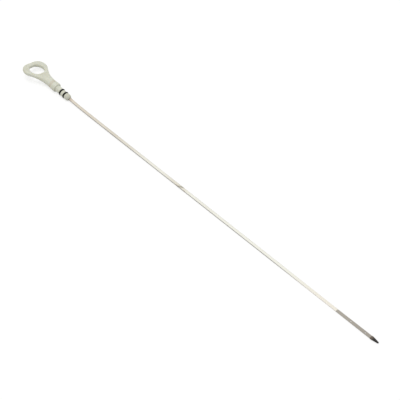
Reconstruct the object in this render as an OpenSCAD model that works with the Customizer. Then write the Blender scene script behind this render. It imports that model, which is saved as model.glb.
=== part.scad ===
// Engine oil dipstick: a moulded finger handle with two O-rings, a steel strip and a black guide tip.
// It lies as it comes to rest: the handle on its collar and lower O-ring, the strip flexed down to run almost level.
// X runs toward the tip and Z is up. The origin is on the handle's axis, in the seat face of the collar.

/* [Finger loop] */
// Width of the finger loop, across the handle
loop_w = 34.2; // [33:0.1:40]
// Thickness of the finger loop
loop_t = 5; // [4.6:0.1:6.5]
// Radius of the loop's two outer corners
loop_corner_r = 10.9; // [9.5:0.1:13]
// Rounding of the loop's edges, on its outline and round the finger hole
loop_edge_r = 2.2; // [1:0.1:2.2]
// Length of the finger hole, along the handle
hole_l = 15.8; // [14:0.1:17.5]
// Width of the finger hole, across the handle
hole_w = 19.8; // [18:0.1:22]
// Width of the bar at the far end of the loop
back_bar = 6.2; // [5:0.1:8]
// Roll of the loop round the handle's axis, with its far edge down
loop_roll = 13.4; // [0:0.1:20]

/* [Neck and collar] */
// Length from the seat face back to the middle of the finger hole
grip_l = 38.9; // [36:0.1:46]
// Diameter of the neck where it meets the collar
neck_d = 10.9; // [9:0.1:11.2]
// Diameter of the collar that seats on the tube's mouth
collar_d = 11.6; // [11.3:0.1:13]
// Length of the collar
collar_l = 6.9; // [5:0.1:8.5]
// Rounding of the collar's edges
collar_round = 1.1; // [0.3:0.1:1.2]
// Length of the plain waist between the neck and the collar
waist_l = 4.7; // [3:0.1:6]

/* [Spigot] */
// Diameter of the spigot that enters the tube
spigot_d = 8; // [7.6:0.1:8.4]
// Length of the spigot, from the seat face to the end of its nose
spigot_l = 23.2; // [22.5:0.1:32]
// Rounding of the spigot's nose
nose_round = 3.2; // [1:0.1:3.6]

/* [O-rings] */
// Outer diameter of the O-rings
seal_d = 9.1; // [8.9:0.1:9.4]
// Thickness of an O-ring's cord
seal_cord = 1.9; // [1.5:0.1:1.9]
// Width of an O-ring groove
groove_w = 2.2; // [2:0.1:2.4]
// Distance from the seat face to the middle of the upper O-ring
upper_seal_x = 8.6; // [7:0.1:10]
// Distance between the two O-rings
seal_pitch = 6.5; // [5.5:0.1:8]

/* [Strip] */
// Width of the steel strip
strip_w = 4; // [3.4:0.1:4.2]
// Thickness of the steel strip
strip_t = 1.1; // [0.8:0.1:1.3]
// Rounding of the strip's four long edges
strip_round = 0.3; // [0.1:0.05:0.35]
// Reach of the dipstick, from the seat face to the end of its tip
reach = 560; // [400:1:900]
// Depth to which the strip is held in the handle
root_l = 16; // [10:0.1:22]
// Straight length of the strip outside the nose, before it flexes
lead_l = 1; // [0.5:0.1:5]
// Slope of the strip's long run, down toward the tip
run_slope = 0.16; // [0:0.01:0.2]

/* [Gauge zone] */
// Length of the grey gauge zone, from its start to the end of the tip
gauge_l = 67.5; // [60:0.1:110]
// Width of the gauge zone at its start
gauge_start_w = 3.8; // [3.2:0.1:4]
// Width of the gauge zone at the tip
gauge_end_w = 4.3; // [3.8:0.1:4.5]
// Thickness of the gauge zone
gauge_t = 0.9; // [0.7:0.1:1]
// Diameter of the two level marks, drilled through
mark_d = 1.8; // [1:0.1:2.4]
// Distance from the end of the tip to the lower level mark
low_mark = 21.4; // [18:0.1:28]
// Distance between the two level marks
mark_pitch = 23.2; // [15:0.1:28]

/* [Tip] */
// Length of the black guide tip
tip_l = 12; // [11:0.1:18]
// Width of the tip where it meets the strip
tip_w = 5; // [4.6:0.1:5.5]
// Thickness of the tip
tip_t = 2.6; // [2.3:0.1:3]
// Diameter of the tip's blunt point
point_d = 2.1; // [1.2:0.1:2.2]
// Width of the strip's tongue, inside the tip
tongue_w = 2.6; // [2:0.1:3]
// Length of that tongue
tongue_l = 7; // [5:0.1:8]

/* [Fits] */
// Clearance between the strip and the plastic that holds it
hold_gap = 0.02; // [0.01:0.01:0.05]
// Clearance between an O-ring and the floor of its groove
seal_gap = 0.02; // [0.01:0.01:0.05]

/* [Hidden] */
$fn = 96;
// Slice thickness of a lofted section, and how far a cutter runs past what it cuts
sliver = 0.02;
past = 1;

// The O-rings, by their cord's own centre circle
seal_r = (seal_d - seal_cord) / 2;
groove_r = seal_r - seal_cord / 2 - seal_gap;
lower_seal_x = upper_seal_x + seal_pitch;

// The rest pose: the angle of the line that touches the collar's edge and the lower O-ring
collar_r = collar_d / 2;
rise = collar_r - collar_round - seal_r;
run = lower_seal_x + collar_round;
contact_angle = atan(rise / run) - asin((seal_cord / 2 - collar_round) / norm([rise, run]));
droop = round(contact_angle * 1000) / 1000;
floor_z = -(collar_r - collar_round) * cos(droop) + collar_round * sin(droop) - collar_round;

// The level gauge zone and tip, at the height at which the floor carries the tip
tip_z = floor_z + tip_t / 2;
gauge_x = reach - gauge_l;
tip_x = reach - tip_l;

// The strip's bend, from the handle's axis to the slope of the long run, which ends at the gauge zone
bend_x = (spigot_l + lead_l) * cos(droop);
bend_z = -(spigot_l + lead_l) * sin(droop);
bend_run = sin(droop) - sin(run_slope);
bend_drop = cos(run_slope) - cos(droop);
bend_r = (bend_z - tip_z - (gauge_x - bend_x) * tan(run_slope)) / (bend_drop - bend_run * tan(run_slope));
run_x = bend_x + bend_r * bend_run;
run_z = bend_z - bend_r * bend_drop;
// The long run reaches this far over the start of the gauge zone, which is a little thinner
run_lap = 0.05;
run_l = (gauge_x - run_x) / cos(run_slope) + run_lap;

// The finger loop, by its corners, its hole and the flare that narrows into the neck
hole_x = -grip_l;
back_x = hole_x - hole_l / 2 - back_bar;
corner_x = back_x + loop_corner_r;
corner_y = loop_w / 2 - loop_corner_r;
hole_end_r = hole_l / 2;
hole_end_y = (hole_w - hole_l) / 2;
waist_x = -collar_l - waist_l;
// The flare starts at this share of a corner's radius past its centre, and thickens from this share of its length
flare_start = 0.45;
thickening = 0.3;
flare_x = corner_x + loop_corner_r * flare_start;
flare_w = 2 * (corner_y + loop_corner_r * sqrt(1 - flare_start * flare_start));
flare_steps = 7;
flare_power = 1.8;
flare_fn = 40;
// The flare's last section stays this far inside the round neck, so that the two meet in a clean edge
neck_step = 0.03;
neck_end_r = neck_d / 2 - neck_step;

// The bend is this much slimmer than the straight stretches, and reaches into each by this angle
bend_slimmer = 0.01;
bend_lap = 0.004;
bend_fn = 3600;

// The tip's end: how much smaller it is than the full section, and how far behind it that section starts
tip_rim = 0.4;
tip_rim_l = 0.3;
// Shares of the tip's length that its full section and its end section run for
tip_full = 0.12;
tip_slim = 0.25;
tip_fn = 32;

function ease(v) = v * v * (3 - 2 * v);
function flare_at(u) = flare_x + u * (waist_x - flare_x);
function flare_half(u) = neck_end_r + (flare_w / 2 - neck_end_r) * pow(1 - u, flare_power);
function flare_deep(u) =
    loop_t / 2 + (neck_end_r - loop_t / 2) * ease(max(0, (u - thickening) / (1 - thickening)));

// A bar's section with round ends, w wide and t thick
module stadium(w, t) {
    square([w - t, t], center = true);
    translate([-(w - t) / 2, 0]) circle(d = t);
    translate([(w - t) / 2, 0]) circle(d = t);
}

// Half of a plate's section, from its middle out to a rounded edge at r
module half_plate(r) {
    square_r = r - loop_edge_r;
    translate([0, -loop_t / 2]) square([square_r, loop_t]);
    translate([0, -loop_t / 2 + loop_edge_r]) square([r, loop_t - 2 * loop_edge_r]);
    for (side = [-1, 1])
        translate([square_r, side * (loop_t / 2 - loop_edge_r)]) circle(r = loop_edge_r);
}

// Half of the finger hole's section, out to r, opening in a round lip at both faces
module half_hole(r) {
    lip_r = r + loop_edge_r;
    difference() {
        translate([0, -loop_t / 2 - past]) square([lip_r, loop_t + 2 * past]);
        translate([r, -loop_t / 2 + loop_edge_r]) square([lip_r, loop_t - 2 * loop_edge_r]);
        for (side = [-1, 1])
            translate([lip_r, side * (loop_t / 2 - loop_edge_r)]) circle(r = loop_edge_r);
    }
}

// The loop's rounded corners and the flat bar between them
module loop_plate() {
    for (side = [-1, 1])
        translate([corner_x, side * corner_y, 0]) rotate_extrude() half_plate(loop_corner_r);
    translate([corner_x, corner_y, 0]) rotate([90, 0, 0]) linear_extrude(2 * corner_y)
        mirror([1, 0]) half_plate(loop_corner_r);
}

module finger_hole() {
    for (side = [-1, 1])
        translate([hole_x, side * hole_end_y, 0]) rotate_extrude() half_hole(hole_end_r);
    translate([hole_x, hole_end_y, 0]) rotate([90, 0, 0]) linear_extrude(2 * hole_end_y)
        union() {
            half_hole(hole_end_r);
            mirror([1, 0]) half_hole(hole_end_r);
        }
}

module flare_slice(u) {
    translate([flare_at(u), 0, 0]) rotate([90, 0, 90]) linear_extrude(sliver)
        stadium(2 * flare_half(u), 2 * flare_deep(u), $fn = flare_fn);
}

// The web that narrows and thickens from the flat loop into the round neck
module flare() {
    for (i = [0 : flare_steps - 1])
        hull() {
            flare_slice(i / flare_steps);
            flare_slice((i + 1) / flare_steps);
        }
}

// A body of revolution on the handle's axis, its profile drawn with the axis as Y
module turned() {
    rotate([0, 90, 0]) rotate_extrude() children();
}

module collar_profile() {
    inner = collar_r - collar_round;
    translate([0, -collar_l]) square([inner, collar_l]);
    translate([0, -collar_l + collar_round]) square([collar_r, collar_l - 2 * collar_round]);
    for (y = [-collar_l + collar_round, -collar_round])
        translate([inner, y]) circle(r = collar_round);
}

module spigot_profile() {
    shoulder = spigot_l - nose_round;
    flat_r = spigot_d / 2 - nose_round;
    difference() {
        union() {
            translate([0, -collar_round]) square([spigot_d / 2, shoulder + collar_round]);
            square([flat_r, spigot_l]);
            translate([flat_r, shoulder]) intersection() {
                circle(r = nose_round);
                square(nose_round);
            }
        }
        for (x = [upper_seal_x, lower_seal_x])
            translate([groove_r, x - groove_w / 2]) square([spigot_d, groove_w]);
    }
}

// The strip's section with its rounded edges, grown by a gap for the plastic round it
module strip_section(gap = 0) {
    w = strip_w + 2 * gap;
    t = strip_t + 2 * gap;
    r = strip_round + gap;
    square([w, t - 2 * r], center = true);
    square([w - 2 * r, t], center = true);
    for (side = [-1, 1], face = [-1, 1])
        translate([side * (w / 2 - r), face * (t / 2 - r)]) circle(r = r);
}

module handle() color("#dcdfcd") rotate([0, droop, 0]) {
    difference() {
        union() {
            rotate([-loop_roll, 0, 0]) loop_plate();
            rotate([-loop_roll, 0, 0]) flare();
            turned() translate([0, waist_x]) square([neck_d / 2, waist_l + collar_round]);
            turned() collar_profile();
            turned() spigot_profile();
        }
        rotate([-loop_roll, 0, 0]) finger_hole();
        translate([spigot_l - root_l, 0, 0]) rotate([90, 0, 90]) linear_extrude(root_l + past)
            strip_section(hold_gap);
    }
}

module seal(x) color("#1c1c1c") rotate([0, droop, 0]) translate([x, 0, 0])
    turned() translate([seal_r, 0]) circle(d = seal_cord);

module upper_o_ring() seal(upper_seal_x);

module lower_o_ring() seal(lower_seal_x);

// The strip from inside the handle, down through its bend and along to the gauge zone
module plain_strip() {
    rotate([0, droop, 0]) translate([spigot_l - root_l + hold_gap, 0, 0]) rotate([90, 0, 90])
        linear_extrude(root_l - hold_gap + lead_l) strip_section();
    translate([run_x, 0, run_z]) rotate([0, run_slope, 0]) {
        rotate([90, 0, 90]) linear_extrude(run_l) strip_section();
        translate([0, 0, bend_r]) mirror([1, 0, 0]) rotate([90, 0, 0]) rotate([0, 0, 270 - bend_lap])
            rotate_extrude(angle = droop - run_slope + 2 * bend_lap, $fn = bend_fn)
                translate([bend_r, 0]) rotate(90) strip_section(-bend_slimmer, $fn = 96);
    }
}

// The flat end of the strip, with its two drilled level marks and the tongue that the tip holds
module gauge() {
    translate([0, 0, tip_z - gauge_t / 2]) difference() {
        linear_extrude(gauge_t) {
            translate([gauge_x - past, -tongue_w / 2]) square([2 * past, tongue_w]);
            polygon([[gauge_x, -gauge_start_w / 2], [tip_x, -gauge_end_w / 2],
                [tip_x, gauge_end_w / 2], [gauge_x, gauge_start_w / 2]]);
            translate([tip_x - past, -tongue_w / 2]) square([tongue_l + past, tongue_w]);
        }
        for (x = [reach - low_mark, reach - low_mark - mark_pitch])
            translate([x, 0, -past]) cylinder(d = mark_d, h = gauge_t + 2 * past);
    }
}

module stick() color("#c9c4b8") {
    plain_strip();
    gauge();
}

// The moulded guide tip, tapered to a blunt point, with a pocket for the strip's tongue
module tip() color("#2b2826") translate([tip_x, 0, tip_z]) difference() {
    hull() {
        rotate([90, 0, 90]) linear_extrude(tip_l * tip_slim)
            stadium(tip_w - tip_rim, tip_t - tip_rim, $fn = tip_fn);
        translate([tip_rim_l, 0, 0]) rotate([90, 0, 90]) linear_extrude(tip_l * tip_full)
            stadium(tip_w, tip_t, $fn = tip_fn);
        translate([tip_l - point_d / 2, 0, 0]) sphere(d = point_d, $fn = tip_fn);
    }
    translate([-past, -tongue_w / 2 - hold_gap, -gauge_t / 2 - hold_gap])
        cube([tongue_l + hold_gap + past, tongue_w + 2 * hold_gap, gauge_t + 2 * hold_gap]);
}

handle();
upper_o_ring();
lower_o_ring();
stick();
tip();
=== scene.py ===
# %% [markdown]
# # An engine oil dipstick, dressed for its picture
# The solids come from the packed model, which is the frame: it fixes where everything is and how big
# it is. Blender adds what solids alone can't show: smooth moulded curves, rubber, rolled steel and black
# plastic. X runs along the strip toward the tip, Z is up, and the origin is where the handle's axis
# passes through the collar's seat face.

# %% Load the frame
import math

import bmesh
import bpy
from mathutils import Matrix, Vector


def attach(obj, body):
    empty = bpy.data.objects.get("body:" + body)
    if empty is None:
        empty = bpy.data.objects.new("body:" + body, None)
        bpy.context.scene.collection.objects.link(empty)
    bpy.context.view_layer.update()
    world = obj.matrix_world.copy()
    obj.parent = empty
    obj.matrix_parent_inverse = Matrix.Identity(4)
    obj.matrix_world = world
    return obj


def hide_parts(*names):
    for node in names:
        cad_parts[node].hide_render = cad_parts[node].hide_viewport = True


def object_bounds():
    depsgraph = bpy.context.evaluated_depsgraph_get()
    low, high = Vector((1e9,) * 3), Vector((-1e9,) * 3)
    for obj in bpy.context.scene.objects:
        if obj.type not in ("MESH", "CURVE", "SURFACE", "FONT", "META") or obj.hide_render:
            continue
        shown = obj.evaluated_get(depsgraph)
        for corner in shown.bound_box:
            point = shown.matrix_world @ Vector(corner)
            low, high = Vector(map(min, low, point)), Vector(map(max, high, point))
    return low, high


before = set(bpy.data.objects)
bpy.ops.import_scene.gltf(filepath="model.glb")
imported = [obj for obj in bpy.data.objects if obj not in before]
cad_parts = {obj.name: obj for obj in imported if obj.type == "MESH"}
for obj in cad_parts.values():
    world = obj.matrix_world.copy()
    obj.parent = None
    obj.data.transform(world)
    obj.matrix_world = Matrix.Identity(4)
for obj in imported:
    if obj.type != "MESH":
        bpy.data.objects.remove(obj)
cad_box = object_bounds()
mm = 0.001

# How far the handle's axis points down, and the O-rings' middles in millimetres from the seat face
droop = math.radians(4.414)
seal_places = {"upper_o_ring": 8.6, "lower_o_ring": 15.1}
print("nodes:", sorted(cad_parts))
print("frame box in mm:", [[round(v / mm, 2) for v in corner] for corner in cad_box])

# %% [markdown]
# ## Where the camera stood
# The strip runs from the upper left to the lower right and gets only a little wider, so the lens was
# long. A camera 3.6 m away that looks down at 45 degrees, turned 48 degrees round the strip, gives that
# picture. Its axes are worked out from those two angles, and small steps along them put the object where
# the photo has it.

# %% Camera
azimuth = math.radians(48.0)
elevation = math.radians(45.0)
distance = 3.6
aim = Vector((0.250, 0.0, 0.0))
view_width = 0.4708

ahead = Vector((-math.sin(azimuth) * math.cos(elevation),
                math.cos(azimuth) * math.cos(elevation),
                -math.sin(elevation)))
right = Vector((math.cos(azimuth), math.sin(azimuth), 0.0))
up = right.cross(ahead)
step_right = 6.67 * mm
step_up = -5.06 * mm

lens = bpy.data.cameras.new("photo_camera")
lens.sensor_fit = "HORIZONTAL"
lens.angle = 2 * math.atan(view_width / 2 / distance)
lens.clip_start = 0.01
lens.clip_end = 20.0
camera = bpy.data.objects.new("photo_camera", lens)
turn = Matrix((right, up, -ahead)).transposed()
camera.matrix_world = turn.to_4x4()
camera.location = aim - distance * ahead + step_right * right + step_up * up
bpy.context.scene.collection.objects.link(camera)
bpy.context.scene.camera = camera
print("camera at", [round(v, 3) for v in camera.location], "lens", round(lens.lens, 1), "mm")

# %% [markdown]
# ## Shader maths in Python
# A finish is mostly arithmetic on positions and noise. Wrapping a socket in a small class lets that
# arithmetic be written as Python: each + or * adds a Math node. Every other node comes from one method.

# %% One socket, with Python's operators
own_coordinates = 3     # the Texture Coordinate node's output that moves with the piece


class Wire:
    def __init__(self, tree, socket=None):
        self.tree = tree
        self.socket = socket

    def add(self, kind, settings=None, values=None, out=0):
        """A new node: its settings first, then the values or links of its sockets."""
        made = self.tree.nodes.new(kind)
        for name, value in (settings or {}).items():
            setattr(made, name, value)
        for key, value in (values or {}).items():
            if isinstance(value, Wire):
                self.tree.links.new(value.socket, made.inputs[key])
            else:
                made.inputs[key].default_value = value
        return None if out is None else Wire(self.tree, made.outputs[out])

    def also(self, wire, name):
        """Another output of the node that a wire comes from."""
        return Wire(self.tree, wire.socket.node.outputs[name])

    def math(self, operation, *values):
        return self.add("ShaderNodeMath", {"operation": operation}, dict(enumerate(values)))

    def __add__(self, other):
        return self.math("ADD", self, other)

    def __radd__(self, other):
        return self.math("ADD", other, self)

    def __sub__(self, other):
        return self.math("SUBTRACT", self, other)

    def __rsub__(self, other):
        return self.math("SUBTRACT", other, self)

    def __mul__(self, other):
        return self.math("MULTIPLY", self, other)

    def __rmul__(self, other):
        return self.math("MULTIPLY", other, self)

    def rise(self, low, high):
        """0 below low, 1 above high, and a smooth step between."""
        return self.add("ShaderNodeMapRange", {"interpolation_type": "SMOOTHSTEP"},
                        {0: self, 1: low, 2: high, 3: 0.0, 4: 1.0})

    def near(self, middle, reach):
        """1 at middle, falling to 0 at reach on both sides of it."""
        away = self.math("ABSOLUTE", self - middle)
        return 1 - away.rise(0.0, reach)

    def mix(self, first, second):
        """The colour first where this wire is 0 and second where it is 1."""
        return self.add("ShaderNodeMix", {"data_type": "RGBA"}, {0: self, 6: first, 7: second}, out=2)

    def noise(self, scale, detail=2.0, rough=0.5, stretch=(1.0, 1.0, 1.0)):
        """Noise of 0 to 1 on the piece's own coordinates, stretched along any of them."""
        place = self.add("ShaderNodeTexCoord", out=own_coordinates)
        place = self.add("ShaderNodeMapping", None, {0: place, 3: stretch})
        return self.add("ShaderNodeTexNoise", None,
                        {"Vector": place, "Scale": scale, "Detail": detail, "Roughness": rough})

    def place(self, axis):
        """The position along one axis, 0 for X, 1 for Y or 2 for Z, in metres."""
        spot = self.add("ShaderNodeTexCoord", out=own_coordinates)
        return self.add("ShaderNodeSeparateXYZ", None, {0: spot}, out=axis)


print("a wire can", [name for name in vars(Wire) if not name.startswith("_")])

# %% [markdown]
# ## From a photo's colour to a shader's colour
# Colours read off a picture are encoded for a screen, and a shader wants the light itself.
# One short function undoes the screen's curve, so that each finish can be written as the eye reads it.

# %% Colour and material helpers


def seen(red, green, blue):
    """A screen colour of 0 to 255, turned into the linear colour that a shader takes."""
    levels = [c / 255 for c in (red, green, blue)]
    return tuple(c / 12.92 if c <= 0.04045 else ((c + 0.055) / 1.055) ** 2.4 for c in levels) + (1.0,)


def new_finish(name):
    """An empty Principled finish: its material, its shader node and a wire to build on."""
    material = bpy.data.materials.new(name)
    material.use_nodes = True
    shader = material.node_tree.nodes["Principled BSDF"]
    return material, shader, Wire(material.node_tree)


def feed(shader, **sockets):
    """Sets or links the shader's sockets, which are named with _ for a space."""
    for name, value in sockets.items():
        socket = shader.inputs[name.replace("_", " ")]
        if isinstance(value, Wire):
            value.tree.links.new(value.socket, socket)
        else:
            socket.default_value = value


def bump(wire, height, strength, distance):
    """A bumpy skin from a wire of heights, distance being how deep it is in metres."""
    return wire.add("ShaderNodeBump", None,
                    {"Strength": strength, "Distance": distance, "Height": height})


def tell(material):
    """Prints how many nodes a finish has."""
    print(material.name, "has", len(material.node_tree.nodes), "nodes")


def dress(piece, material):
    """The piece wears this one material."""
    piece.data.materials.clear()
    piece.data.materials.append(material)


print("a mid grey of 188 is", round(seen(188, 188, 188)[0], 3), "in the shader")

# %% [markdown]
# ## Natural nylon
# The handle is unpigmented nylon: a warm, slightly green cream that lets a little light in. Real
# mouldings show faint cloudy patches and a softly spark-eroded skin. This one has painted shade where the
# neck meets the collar and on its nose, and a dark band by each O-ring that is partly rubber bloom, partly
# painted shade.

# %% The nylon
collar_shade_at, collar_shade_reach = -8.2 * mm, 3.2 * mm
nose_shade_from, nose_shade_full = 15.5 * mm, 19.5 * mm
bloom_and_shade_reach = 2.6 * mm
cream = seen(219, 220, 204)
cream_dull = seen(212, 212, 193)
speck_yellow = seen(196, 193, 166)
collar_shade_tan = seen(198, 182, 160)
nose_shade = seen(200, 200, 184)
bloom_and_shade_grey = seen(66, 68, 61)

nylon, shader, wire = new_finish("natural_nylon_moulding")
clouds = wire.noise(90.0, 3.0, 0.55)
specks = wire.noise(1100.0, 2.0, 0.6)
skin = wire.noise(4200.0, 2.0, 0.6)
from_seat = math.cos(droop) * wire.place(0) - math.sin(droop) * wire.place(2)
base = clouds.rise(0.35, 0.72).mix(cream, cream_dull)
base = (specks.rise(0.66, 0.85) * 0.12).mix(base, speck_yellow)
# Painted shade where the neck meets the collar, broken up by the clouds.
base = (from_seat.near(collar_shade_at, collar_shade_reach) * (0.35 + 0.4 * clouds)).mix(base, collar_shade_tan)
# Painted shade on the handle's nose.
base = (from_seat.rise(nose_shade_from, nose_shade_full) * 0.8).mix(base, nose_shade)
# Beside each O-ring a dark band: partly rubber bloom, partly painted shade of the ring and its groove.
for middle in seal_places.values():
    bloom = from_seat.near(middle * mm, bloom_and_shade_reach).rise(0.2, 0.7)
    base = (bloom * (0.65 + 0.3 * clouds)).mix(base, bloom_and_shade_grey)
feed(shader, Base_Color=base, Roughness=0.42 + 0.12 * specks, Subsurface_Weight=0.15,
     Subsurface_Scale=1.5 * mm, Subsurface_Radius=(1.0, 0.9, 0.6), IOR=1.53,
     Normal=bump(wire, skin, 0.15, 0.04 * mm))
tell(nylon)

# %% [markdown]
# ## Seal rubber
# O-rings are nitrile rubber: near black, a little dusty, and dull, with hardly any gleam.

# %% The rubber
rubber_black = seen(10, 10, 10)
rubber_dusty = seen(26, 25, 23)

rubber, shader, wire = new_finish("seal_rubber_black")
dust = wire.noise(700.0, 3.0, 0.6)
grain = wire.noise(6000.0, 2.0, 0.5)
feed(shader, Base_Color=dust.rise(0.45, 0.8).mix(rubber_black, rubber_dusty),
     Roughness=0.5 + 0.2 * dust, Specular_IOR_Level=0.1, Normal=bump(wire, grain, 0.2, 0.04 * mm))
tell(rubber)

# %% [markdown]
# ## Strip steel
# The strip is rolled steel with rounded edges. Fine lines run along it. Painted shade browns it where it
# leaves the handle, and a painted reflection takes it from tan to lighter toward its end. Years of warm oil
# have smeared it dark across one place, with a rust spot on its edge at each side of that. Its edges are
# painted a darker grey as shade, which fades toward its end. Toward its end it is flattened and blasted to
# a matt grey, so that oil clings to it.

# %% The steel
root_shade_full, root_shade_end = 22 * mm, 30 * mm
tan_full, bright_from = 30 * mm, 220 * mm
warm_from, warm_full = 410 * mm, 480 * mm
stain_at, stain_reach = 220 * mm, 30 * mm
smear_at, smear_reach, smear_slant = 225.8 * mm, 4.5 * mm, 1.5
rust_places, rust_reach = (219.9 * mm, 233.6 * mm), 2.2 * mm
rust_across, rust_half = -1.6 * mm, 0.9 * mm
edge_from, edge_full = 1.6 * mm, 1.85 * mm
zone_from, zone_full = 492.35 * mm, 492.65 * mm
tan = seen(213, 205, 191)
bright = seen(231, 230, 220)
warm = seen(230, 225, 213)
blotch_brown = seen(186, 176, 160)
line_grey = seen(180, 175, 166)
stain_tan = seen(214, 208, 194)
root_shade_brown = seen(192, 174, 158)
smear_grey = seen(150, 145, 130)
edge_shade_dark, edge_shade_light = seen(118, 115, 111), seen(204, 198, 191)
rust_brown = seen(140, 112, 94)
zone_grey, zone_grey_end = seen(168, 163, 154), seen(162, 156, 148)
blast_grey = seen(138, 134, 126)
zone_rough = 0.62

steel, shader, wire = new_finish("rolled_strip_steel")
along = wire.place(0)
across = wire.place(1)
lines = wire.noise(900.0, 3.0, 0.6, (0.02, 1.0, 1.0))
blotches = wire.noise(22.0, 3.0, 0.6, (0.6, 1.0, 1.0))
blast = wire.noise(5200.0, 2.0, 0.7)

# The bright run, from its broad tones down to its marks
# Painted reflection: tan near the handle, turning lighter toward the tip.
plain = along.rise(tan_full, bright_from).mix(tan, bright)
plain = along.rise(warm_from, warm_full).mix(plain, warm)
worn = blotches.rise(0.45, 0.75) * (1 - along.rise(100 * mm, 420 * mm))
plain = (worn * 0.35).mix(plain, blotch_brown)
plain = (lines.rise(0.55, 0.85) * 0.25).mix(plain, line_grey)
plain = (along.near(stain_at, stain_reach) * 0.7).mix(plain, stain_tan)
# Painted shade: the strip is browner where it leaves the handle's nose.
plain = ((1 - along.rise(root_shade_full, root_shade_end)) * 0.75).mix(plain, root_shade_brown)
plain = ((along - smear_slant * across).near(smear_at, smear_reach) * 0.8).mix(plain, smear_grey)
# Painted shade: the strip's edges are a darker grey, fading lighter toward its end.
edge = across.math("ABSOLUTE", across).rise(edge_from, edge_full)
painted_edge_shade = along.rise(380 * mm, 460 * mm).mix(edge_shade_dark, edge_shade_light)
plain = (edge * 0.9).mix(plain, painted_edge_shade)
for spot in rust_places:
    rust = along.near(spot, rust_reach) * across.near(rust_across, rust_half)
    plain = (rust * 0.6).mix(plain, rust_brown)

# The blasted zone, and both together
zone = along.rise(zone_from, zone_full)
matt = along.rise(500 * mm, 550 * mm).mix(zone_grey, zone_grey_end)
matt = (blast.rise(0.5, 0.8) * 0.3).mix(matt, blast_grey)
rough = 0.30 + 0.12 * lines + 0.2 * edge
feed(shader, Base_Color=zone.mix(plain, matt), Metallic=1.0,
     Roughness=rough + zone * (zone_rough - rough),
     Normal=bump(wire, lines * 0.4 * (1 - zone) + blast * zone, 0.3, 0.03 * mm))
tell(steel)

# %% [markdown]
# ## Black tip plastic
# The guide tip is black nylon, moulded onto the strip's tongue. Its wide shoulder is a brown grey, and from
# there it darkens to a warm near-black.

# %% The tip's plastic
shoulder_to, black_from = 548.3 * mm, 554.0 * mm
tip_black, tip_worn = seen(26, 22, 19), seen(44, 38, 33)
shoulder_brown = seen(124, 111, 100)

black, shader, wire = new_finish("black_tip_plastic")
scuff = wire.noise(500.0, 4.0, 0.65, (0.25, 1.0, 1.0))
skin = wire.noise(5200.0, 2.0, 0.6)
moulded = scuff.rise(0.45, 0.8).mix(tip_black, tip_worn)
# Brown grey at the shoulder, darkening toward the point.
shoulder_share = (1 - wire.place(0).rise(shoulder_to, black_from)) * (0.75 + 0.25 * scuff)
feed(shader, Base_Color=shoulder_share.mix(moulded, shoulder_brown), Roughness=0.38 + 0.25 * scuff,
     Specular_IOR_Level=0.3, Normal=bump(wire, skin, 0.25, 0.05 * mm))
tell(black)

# %% [markdown]
# ## The handle's plan
# The handle is one moulding: a flat loop with a finger hole, a web that narrows and thickens into a round
# neck, a collar, and a spigot with two grooves. It is modelled straight along X, in millimetres from the
# seat face, and laid down at the end. Its outline is written as a test that says whether a point of the
# plan is inside it. The distance to an edge is found by halving the gap until it is tiny.

# %% Plan, in millimetres
hole_x = -38.9          # the finger hole's middle, from the seat face
hole_end_r = 7.9
hole_half_w = 9.9
back_bar = 6.2
loop_w = 34.2
back_x = hole_x - hole_end_r - back_bar
corner_r = 10.9
corner_y = loop_w / 2 - corner_r
flare_start = 0.45      # where the web's curve leaves the corner, as a share of the corner's radius
flare_x = back_x + corner_r * (1 + flare_start)
flare_half_w = corner_y + corner_r * math.sqrt(1 - flare_start ** 2)
flare_power = 1.8
waist_x = -11.6         # where the web has become the round neck
neck_r = 5.45
plate_half = 2.5        # half the loop's thickness
plate_edge = 2.2        # how round the loop's edges are
thicken_from = 0.3      # how far along the web it starts to thicken, as a share
web_x = -27.0           # where the loop's mesh hands over to the web's


def smooth(share):
    """0 to 1 with a soft start and a soft end."""
    share = min(max(share, 0.0), 1.0)
    return share * share * (3 - 2 * share)


def web_share(x):
    """How far along the web x is, from 0 to 1."""
    return min(max((x - flare_x) / (waist_x - flare_x), 0.0), 1.0)


def flare_half(x):
    """Half the web's width at x."""
    return neck_r + (flare_half_w - neck_r) * (1 - web_share(x)) ** flare_power


def flare_deep(x):
    """Half the web's thickness at x."""
    thicker = smooth((web_share(x) - thicken_from) / (1 - thicken_from))
    return plate_half + (neck_r - plate_half) * thicker


def in_plate(x, y):
    """Is this point inside the loop's outline, which is cut off straight where the web starts?"""
    y = abs(y)
    if x < back_x or x > web_x:
        return False
    if x > flare_x:
        return y < flare_half(x)
    if y < corner_y:
        return True
    return math.hypot(x - back_x - corner_r, y - corner_y) < corner_r


def in_hole(x, y):
    """Is this point inside the finger hole?"""
    return math.hypot(x - hole_x, max(0.0, abs(y) - hole_half_w + hole_end_r)) < hole_end_r


def edge_along(angle, inside):
    """How far the shape reaches from the hole's middle at this angle."""
    near, far = 0.0, loop_w
    for _ in range(40):
        middle = (near + far) / 2
        if inside(hole_x + middle * math.cos(angle), middle * math.sin(angle)):
            near = middle
        else:
            far = middle
    return near


bar_w = edge_along(math.pi, in_plate) - edge_along(math.pi, in_hole)
print("the back bar is", round(bar_w, 2), "mm wide")

# %% [markdown]
# ## The loop
# Spinning a circle gives a ring of quads, like a tyre. Every point of it then moves to its place on the
# real bar: out from the hole's edge to the outline, with the bar's edges rounded. A ring made this way has
# no poles, so the subdivision surface over it stays smooth all round. At its front, a patch of faces is
# left out for the web.

# %% The loop's ring
turns = 48
cords = 16
quarter = cords // 4
web_turns = 6           # the web's patch ends this many steps to each side of the front
web_angle = math.atan2(flare_half(web_x) - 0.02, web_x - hole_x)
tyre_r = 3.0


def sign(value):
    """1 above zero, -1 below it, and 0 on it."""
    return (value > 1e-6) - (value < -1e-6)


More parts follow.
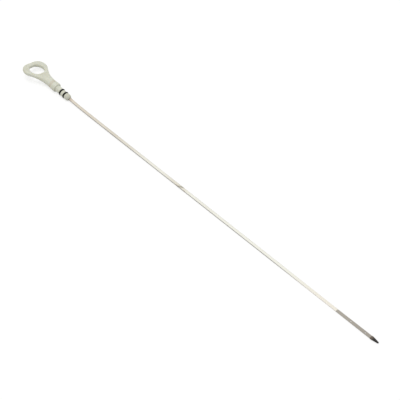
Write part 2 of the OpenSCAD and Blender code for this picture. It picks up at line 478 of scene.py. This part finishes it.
def bar_point(turn, cord):
    """A point of the bar: turn counts round the hole from the web, and cord round the bar's section."""
    if abs(turn) <= web_turns:
        angle = web_angle * turn / web_turns
    else:
        share = (abs(turn) - web_turns) / (turns / 2 - web_turns)
        angle = math.copysign(web_angle + share * (math.pi - web_angle), turn)
    inner, outer = edge_along(angle, in_hole), edge_along(angle, in_plate)
    phi = 2 * math.pi * cord / cords
    side, lift = math.cos(phi), math.sin(phi)
    middle, reach = (inner + outer) / 2, (outer - inner) / 2 - plate_edge
    out = middle + sign(side) * reach + plate_edge * side
    high = sign(lift) * (plate_half - plate_edge) + plate_edge * lift
    # Beside the open patch, the points that lead to it lie on the flat top or bottom
    if side > 1e-6 and abs(turn) < web_turns:
        step = min(cord, cords - cord)
        out = middle + (outer - middle) * (quarter - step) / (quarter / 2)
        high = sign(lift) * plate_half
    return Vector((hole_x + out * math.cos(angle), out * math.sin(angle), high))


def loop_ring(shape):
    """The ring of quads, open at its front, with each of its points on the real bar."""
    circle = bmesh.ops.create_circle(shape, segments=cords, radius=1.0)
    stand = Matrix.Translation((tyre_r, 0.0, 0.0)) @ Matrix.Rotation(math.pi / 2, 4, "X")
    bmesh.ops.transform(shape, verts=circle["verts"], matrix=stand)
    bmesh.ops.spin(shape, geom=shape.verts[:] + shape.edges[:], axis=(0, 0, 1), cent=(0, 0, 0),
                   angle=2 * math.pi, steps=turns, use_merge=True)
    bmesh.ops.remove_doubles(shape, verts=shape.verts, dist=1e-4)
    marks = {}
    for vert in shape.verts:
        turn = round(math.atan2(vert.co.y, vert.co.x) / (2 * math.pi) * turns)
        tube = math.hypot(vert.co.x, vert.co.y) - tyre_r
        cord = round(math.atan2(vert.co.z, tube) / (2 * math.pi) * cords) % cords
        marks[vert] = (turn, cord)
    front = [face for face in shape.faces
             if all(abs(marks[v][0]) <= web_turns for v in face.verts)
             and all(min(marks[v][1], cords - marks[v][1]) <= quarter // 2 for v in face.verts)]
    for vert in shape.verts:
        vert.co = bar_point(*marks[vert])
    bmesh.ops.delete(shape, geom=front, context="FACES")


print("the web meets the loop", round(math.degrees(web_angle), 1), "degrees to each side of the axis")

# %% [markdown]
# ## From the web to the nose
# The open patch is a ring of edges. Extruding it again and again, and moving each new ring to the next
# section, grows the web, neck, collar, spigot, both grooves and the round nose as one skin. Where two
# rings are close together the subdivision surface turns sharply, and where they are far apart it flows.

# %% Sections and growth


def section_quarter(share, half_w, half_t, corner):
    """A point on a round-cornered section: share runs 0 to 1 from its side to its top middle."""
    side, bow, flat = half_t - corner, corner * math.pi / 2, half_w - corner
    s = share * (side + bow + flat)
    if s < side:
        return half_w, s
    if s < side + bow:
        turn = (s - side) / corner
        return flat + corner * math.cos(turn), side + corner * math.sin(turn)
    return flat - (s - side - bow), half_t


def section(count, half_w, half_t, side_share, x=0.0, corner=None):
    """A ring of points on that section, its ends round unless a smaller corner is given.

    side_share is how much of a quarter its side's steps cover.
    """
    corner = corner or half_t
    ring = []
    for k in range(count):
        part, step = divmod(k, count // 4)
        step = count // 4 - step if part % 2 else step
        side_steps = quarter // 2
        share = side_share * step / side_steps
        if step > side_steps:
            share = side_share + (1 - side_share) * (step - side_steps) / (count // 4 - side_steps)
        y, z = section_quarter(share, half_w, half_t, corner)
        ring.append(Vector((x, y if part in (0, 3) else -y, z if part in (0, 1) else -z)))
    return ring


def grow(shape, points):
    """Extrudes the open end once, and moves its new ring to these points, from its +Y side."""
    rim = [edge for edge in shape.edges if edge.is_boundary]
    new = bmesh.ops.extrude_edge_only(shape, edges=rim)
    ring = [g for g in new["geom"] if isinstance(g, bmesh.types.BMVert)]
    wide = max(abs(v.co.y) for v in ring)
    tall = max(abs(v.co.z) for v in ring)
    ring.sort(key=lambda v: (math.atan2(v.co.z / tall, v.co.y / wide) + 1e-4) % (2 * math.pi))
    for vert, point in zip(ring, points):
        vert.co = point


print("half way round a quarter of the neck:",
      [round(v, 2) for v in section_quarter(0.5, neck_r, neck_r, neck_r)])

# %% The turned profile, as distances from the seat face and from the axis
collar_l, collar_r, collar_round = 6.9, 5.8, 1.1
spigot_r = 4.0
seal_cord_r = 0.95
seal_r = 3.6            # from the handle's axis to the middle of the O-ring's cord
groove_half = 1.1
groove_r = seal_r - seal_cord_r - 0.02
dome_x, dome_r = 20.0, 3.2
flat_r = spigot_r - dome_r


def arc(x, r, radius, first, last, steps):
    """Points on an arc of the profile, by angles in degrees from straight out toward the nose."""
    angles = [math.radians(first + (last - first) * k / (steps - 1)) for k in range(steps)]
    return [(x + radius * math.sin(a), r + radius * math.cos(a)) for a in angles]


turned = [(-11.2, neck_r), (-9.2, neck_r), (-7.4, neck_r), (-6.8, neck_r - 0.01)]
turned += arc(collar_round - collar_l, collar_r - collar_round, collar_round, -42, 0, 3)
turned += [(-4.8, collar_r), (-2.2, collar_r)]
turned += arc(-collar_round, collar_r - collar_round, collar_round, 0, 90, 4)

# A small fillet from the seat face to the spigot, then the spigot
turned += [(0.02, 4.45), (0.12, 4.2), (0.35, 4.05), (0.75, spigot_r)]
turned += [(3.5, spigot_r), (6.3, spigot_r)]

# Rings that keep a groove's two corners sharp: how far past the groove's edge, and from the axis
groove_edge = [(-0.5, spigot_r), (-0.12, spigot_r), (-0.03, spigot_r - 0.03), (0.0, spigot_r - 0.15),
               (0.0, groove_r + 0.22), (0.03, groove_r + 0.04), (0.15, groove_r)]
for middle in seal_places.values():
    turned += [(middle - groove_half + x, r) for x, r in groove_edge]
    turned += [(middle + groove_half - x, r) for x, r in reversed(groove_edge)]
turned += [(18.2, spigot_r), (19.4, spigot_r)]
turned += arc(dome_x, flat_r, dome_r, 0, 60, 6)
print(len(turned), "rings from the neck to the nose")

# %% Build the handle
shape = bmesh.new()
loop_ring(shape)
count = sum(edge.is_boundary for edge in shape.edges)

# How much of a quarter of the section its side takes up, on the flat web and on the round neck
web_half = flare_half(web_x)
flat_share = (plate_half * math.pi / 4) / (plate_half * math.pi / 2 + web_half - plate_half)
round_share = 2 * quarter / count
web_steps = 9
for k in range(1, web_steps + 1):
    x = web_x + (waist_x - web_x) * k / web_steps
    half, deep = flare_half(x), min(flare_deep(x), flare_half(x))
    flatness = (half - deep) / (web_half - plate_half)
    grow(shape, section(count, half, deep, round_share + (flat_share - round_share) * flatness, x))
for x, r in turned:
    grow(shape, section(count, r, r, round_share, x))

# The pocket for the strip: half its width and height, and how deep under the nose's skin
pocket_corner, pocket_side_share = 0.32, 0.3
pocket = [(2.16, 0.72, 0.0), (2.06, 0.60, 0.05), (2.03, 0.575, 0.25), (2.02, 0.57, 1.2), (2.02, 0.57, 7.0)]
for half_w, half_t, sink in pocket:
    mouth = section(count, half_w, half_t, pocket_side_share, corner=pocket_corner)
    for point in mouth:
        past_flat = max(0.0, point.yz.length - flat_r)
        point.x = dome_x + math.sqrt(dome_r ** 2 - past_flat ** 2) - sink
    grow(shape, mouth)
bmesh.ops.contextual_create(shape, geom=[edge for edge in shape.edges if edge.is_boundary])
print("open edges left:", sum(edge.is_boundary for edge in shape.edges))

# %% [markdown]
# ## How the handle lies
# The handle rests on its collar and lower O-ring, so its axis points 4.41 degrees down, and its loop has
# rolled a little round that axis. The roll fades out between the neck and the nose, where every section
# is round, so the strip's pocket isn't rolled. A subdivision surface then rounds the cage. It also shrinks
# it a little, so the cage's points are moved out until the smooth surface passes close to where they were.

# %% From a bmesh to a piece


def new_piece(shape, name, material, node, bend=0):
    """The bmesh becomes a piece that wears a finish, rides on the body and stands for a CAD node."""
    bmesh.ops.recalc_face_normals(shape, faces=shape.faces)
    for face in shape.faces:
        face.smooth = True
    mesh = bpy.data.meshes.new(name)
    shape.to_mesh(mesh)
    shape.free()
    piece = bpy.data.objects.new(name, mesh)
    bpy.context.scene.collection.objects.link(piece)
    dress(piece, material)
    if bend:
        round_off = piece.modifiers.new("round_off", "SUBSURF")
        round_off.levels = bend
        round_off.render_levels = bend
    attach(piece, "root")
    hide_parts(node)
    print(name, len(mesh.polygons), "faces in its cage")
    return piece


# %% Lay the handle down
loop_roll = math.radians(-13.4)
down_turn = Matrix.Rotation(droop, 4, "Y")
unroll_l = 30.0         # from the waist to where the roll is gone
for vert in shape.verts:
    roll = loop_roll * (1 - smooth((vert.co.x - waist_x) / unroll_l))
    vert.co = down_turn @ Matrix.Rotation(roll, 4, "X") @ vert.co * mm
handle = new_piece(shape, "handle_moulding", nylon, "handle", bend=2)


hold_rounds = 2
hold_share = 0.8        # how much of the gap each round closes


def hold_size(piece):
    """Moves the cage until its subdivision surface passes close to where the cage's points were."""
    wanted = [v.co.copy() for v in piece.data.vertices]
    for _ in range(hold_rounds):
        rounded = piece.evaluated_get(bpy.context.evaluated_depsgraph_get()).data
        moves = [wanted[k] - rounded.vertices[k].co for k in range(len(wanted))]
        for vert, move in zip(piece.data.vertices, moves):
            vert.co += hold_share * move
        piece.data.update()
        bpy.context.view_layer.update()
    furthest = max(move.length for move in moves)
    print(piece.name, "had at most", round(furthest / mm, 3), "mm to go before the last move")


hold_size(handle)

# %% [markdown]
# ## Two O-rings
# An O-ring is a round cord joined to itself. Spinning a circle about the handle's axis makes it.

# %% The O-rings
cord_segments = 24
seal_segments = 96


def o_ring(node, middle):
    """A ring of cord round the handle's axis, its middle this far from the seat face."""
    shape = bmesh.new()
    circle = bmesh.ops.create_circle(shape, segments=cord_segments, radius=seal_cord_r)
    stand = Matrix.Translation((middle, 0.0, seal_r)) @ Matrix.Rotation(math.pi / 2, 4, "X")
    bmesh.ops.transform(shape, verts=circle["verts"], matrix=stand)
    bmesh.ops.spin(shape, geom=shape.verts[:] + shape.edges[:], cent=(0, 0, 0), axis=(1, 0, 0),
                   angle=2 * math.pi, steps=seal_segments, use_merge=True)
    bmesh.ops.remove_doubles(shape, verts=shape.verts, dist=1e-4)
    bmesh.ops.transform(shape, verts=shape.verts, matrix=down_turn @ Matrix.Scale(mm, 4))
    return new_piece(shape, node + "_seal", rubber, node)


for node, middle in seal_places.items():
    o_ring(node, middle)

# %% [markdown]
# ## The strip
# The strip's solid is exact, with its rounded edges, its slow bend and its two drilled marks, so it keeps
# its mesh.

# %% The strip keeps its solid's mesh
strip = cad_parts["stick"]
dress(strip, steel)
print("the strip keeps its", len(strip.data.polygons), "faces")

# %% [markdown]
# ## The tip
# The guide tip is a small black moulding that starts with a rounded rim, is widest just past it, and
# tapers to a blunt point. It grows from one ring of edges as the handle does.

# %% The tip's rings, in millimetres from its start
tip_x = 548.0           # its start, from the seat face
tip_z = -4.4014         # its middle's height
tip_count = 32
tip_side_share = 0.28
taper_x = 1.74
point_x = 10.95
point_r = 1.05
tip_half_w, tip_half_t = 2.5, 1.3
face_half_w, face_half_t = 1.9, 0.8     # the flat start face inside the rim
tip_rings = [(x, tip_half_w - less, tip_half_t - less)
             for x, less in ((0.0, 0.2), (0.1, 0.07), (0.35, 0.0), (0.9, 0.0), (taper_x, 0.0))]
taper_steps = 8
for k in range(1, taper_steps + 1):
    part = k / taper_steps
    tip_rings.append((taper_x + part * (point_x - taper_x),
                      tip_half_w + part * (point_r - tip_half_w),
                      tip_half_t + part * (point_r - tip_half_t)))
for degrees in (20, 40, 60, 80):
    bow = math.radians(degrees)
    thin = point_r * math.cos(bow)
    tip_rings.append((point_x + point_r * math.sin(bow), thin, thin))
print(len(tip_rings), "rings from the tip's rim to its point")

# %% Build the tip
shape = bmesh.new()
bmesh.ops.create_circle(shape, segments=tip_count, radius=1.0)
bmesh.ops.rotate(shape, verts=shape.verts, matrix=Matrix.Rotation(math.pi / 2, 3, "Y"))
ring = sorted(shape.verts, key=lambda v: (math.atan2(v.co.z, v.co.y) + 1e-4) % (2 * math.pi))
for vert, point in zip(ring, section(tip_count, face_half_w, face_half_t, tip_side_share)):
    vert.co = point
bmesh.ops.contextual_create(shape, geom=shape.edges[:])
for x, half_w, half_t in tip_rings:
    grow(shape, section(tip_count, half_w, half_t, tip_side_share, x))
bmesh.ops.contextual_create(shape, geom=[edge for edge in shape.edges if edge.is_boundary])
place = Matrix.Scale(mm, 4) @ Matrix.Translation((tip_x, 0.0, tip_z))
bmesh.ops.transform(shape, verts=shape.verts, matrix=place)
tip = new_piece(shape, "guide_tip", black, "tip", bend=2)
hold_size(tip)

# %% [markdown]
# ## Floor, light and air
# The photo has pure white round the object. The floor is a pale plane that the camera sees as white, with
# the object's soft shadow kept in it. One broad lamp above lights the tops, and pale air fills the sides.

# %% Floor
floor_z = cad_box[0][2]
middle_x = 0.25         # the object's middle, which the lamp looks at too
floor_size = 4.0
shape = bmesh.new()
bmesh.ops.create_grid(shape, x_segments=1, y_segments=1, size=floor_size)
bmesh.ops.translate(shape, verts=shape.verts, vec=(middle_x, 0.0, floor_z))
floor_mesh = bpy.data.meshes.new("floor")
shape.to_mesh(floor_mesh)
shape.free()
floor = bpy.data.objects.new("floor", floor_mesh)
bpy.context.scene.collection.objects.link(floor)

pale = bpy.data.materials.new("pale_floor")
pale.use_nodes = True
pale.node_tree.nodes.clear()
wire = Wire(pale.node_tree)
camera_ray = wire.add("ShaderNodeLightPath")
glossy_ray = wire.also(camera_ray, "Is Glossy Ray")
floor_grey, shadow_grey, glow_level = 0.7, 0.35, 0.72
white = (1.0, 1.0, 1.0, 1.0)
lit = wire.add("ShaderNodeBsdfDiffuse", None, {"Color": (floor_grey,) * 3 + (1.0,)})
shadow = wire.add("ShaderNodeBsdfDiffuse", None, {"Color": (shadow_grey,) * 3 + (1.0,)})
glow = wire.add("ShaderNodeEmission", None, {"Color": white, "Strength": glow_level})
shown = wire.add("ShaderNodeAddShader", None, {0: shadow, 1: glow})
looked_at = wire.math("MAXIMUM", camera_ray, glossy_ray)
both = wire.add("ShaderNodeMixShader", None, {0: looked_at, 1: lit, 2: shown})
wire.add("ShaderNodeOutputMaterial", None, {0: both}, out=None)
dress(floor, pale)
tell(pale)

# %% Air
air = bpy.data.worlds.new("pale_air")
air.use_nodes = True
air.node_tree.nodes.clear()
wire = Wire(air.node_tree)
camera_ray = wire.add("ShaderNodeLightPath")
looked_at = wire.math("MAXIMUM", camera_ray, wire.also(camera_ray, "Is Glossy Ray"))
looked_at = wire.math("MAXIMUM", looked_at, wire.also(camera_ray, "Is Transmission Ray"))
air_level = 0.62
sky = wire.add("ShaderNodeBackground", None,
               {"Color": white, "Strength": air_level + (1 - air_level) * looked_at})
wire.add("ShaderNodeOutputWorld", None, {0: sky}, out=None)
bpy.context.scene.world = air
tell(air)

# %% Lamp
lamp_data = bpy.data.lights.new("soft_top", "AREA")
lamp_data.shape = "SQUARE"
lamp_data.size = 1.0
lamp_data.energy = 10.5
lamp = bpy.data.objects.new("soft_top", lamp_data)
lamp.location = (-0.25, -0.25, 1.7)
toward = Vector((middle_x, 0.0, 0.0)) - lamp.location
lamp.rotation_euler = toward.to_track_quat("-Z", "Y").to_euler()
bpy.context.scene.collection.objects.link(lamp)
bpy.context.scene.view_settings.view_transform = "Standard"
print("lamp", lamp_data.size, "m wide, at", [round(v, 2) for v in lamp.location])

# %% [markdown]
# ## Sizes, and the end
# The dressed object must stay as big as its solids.
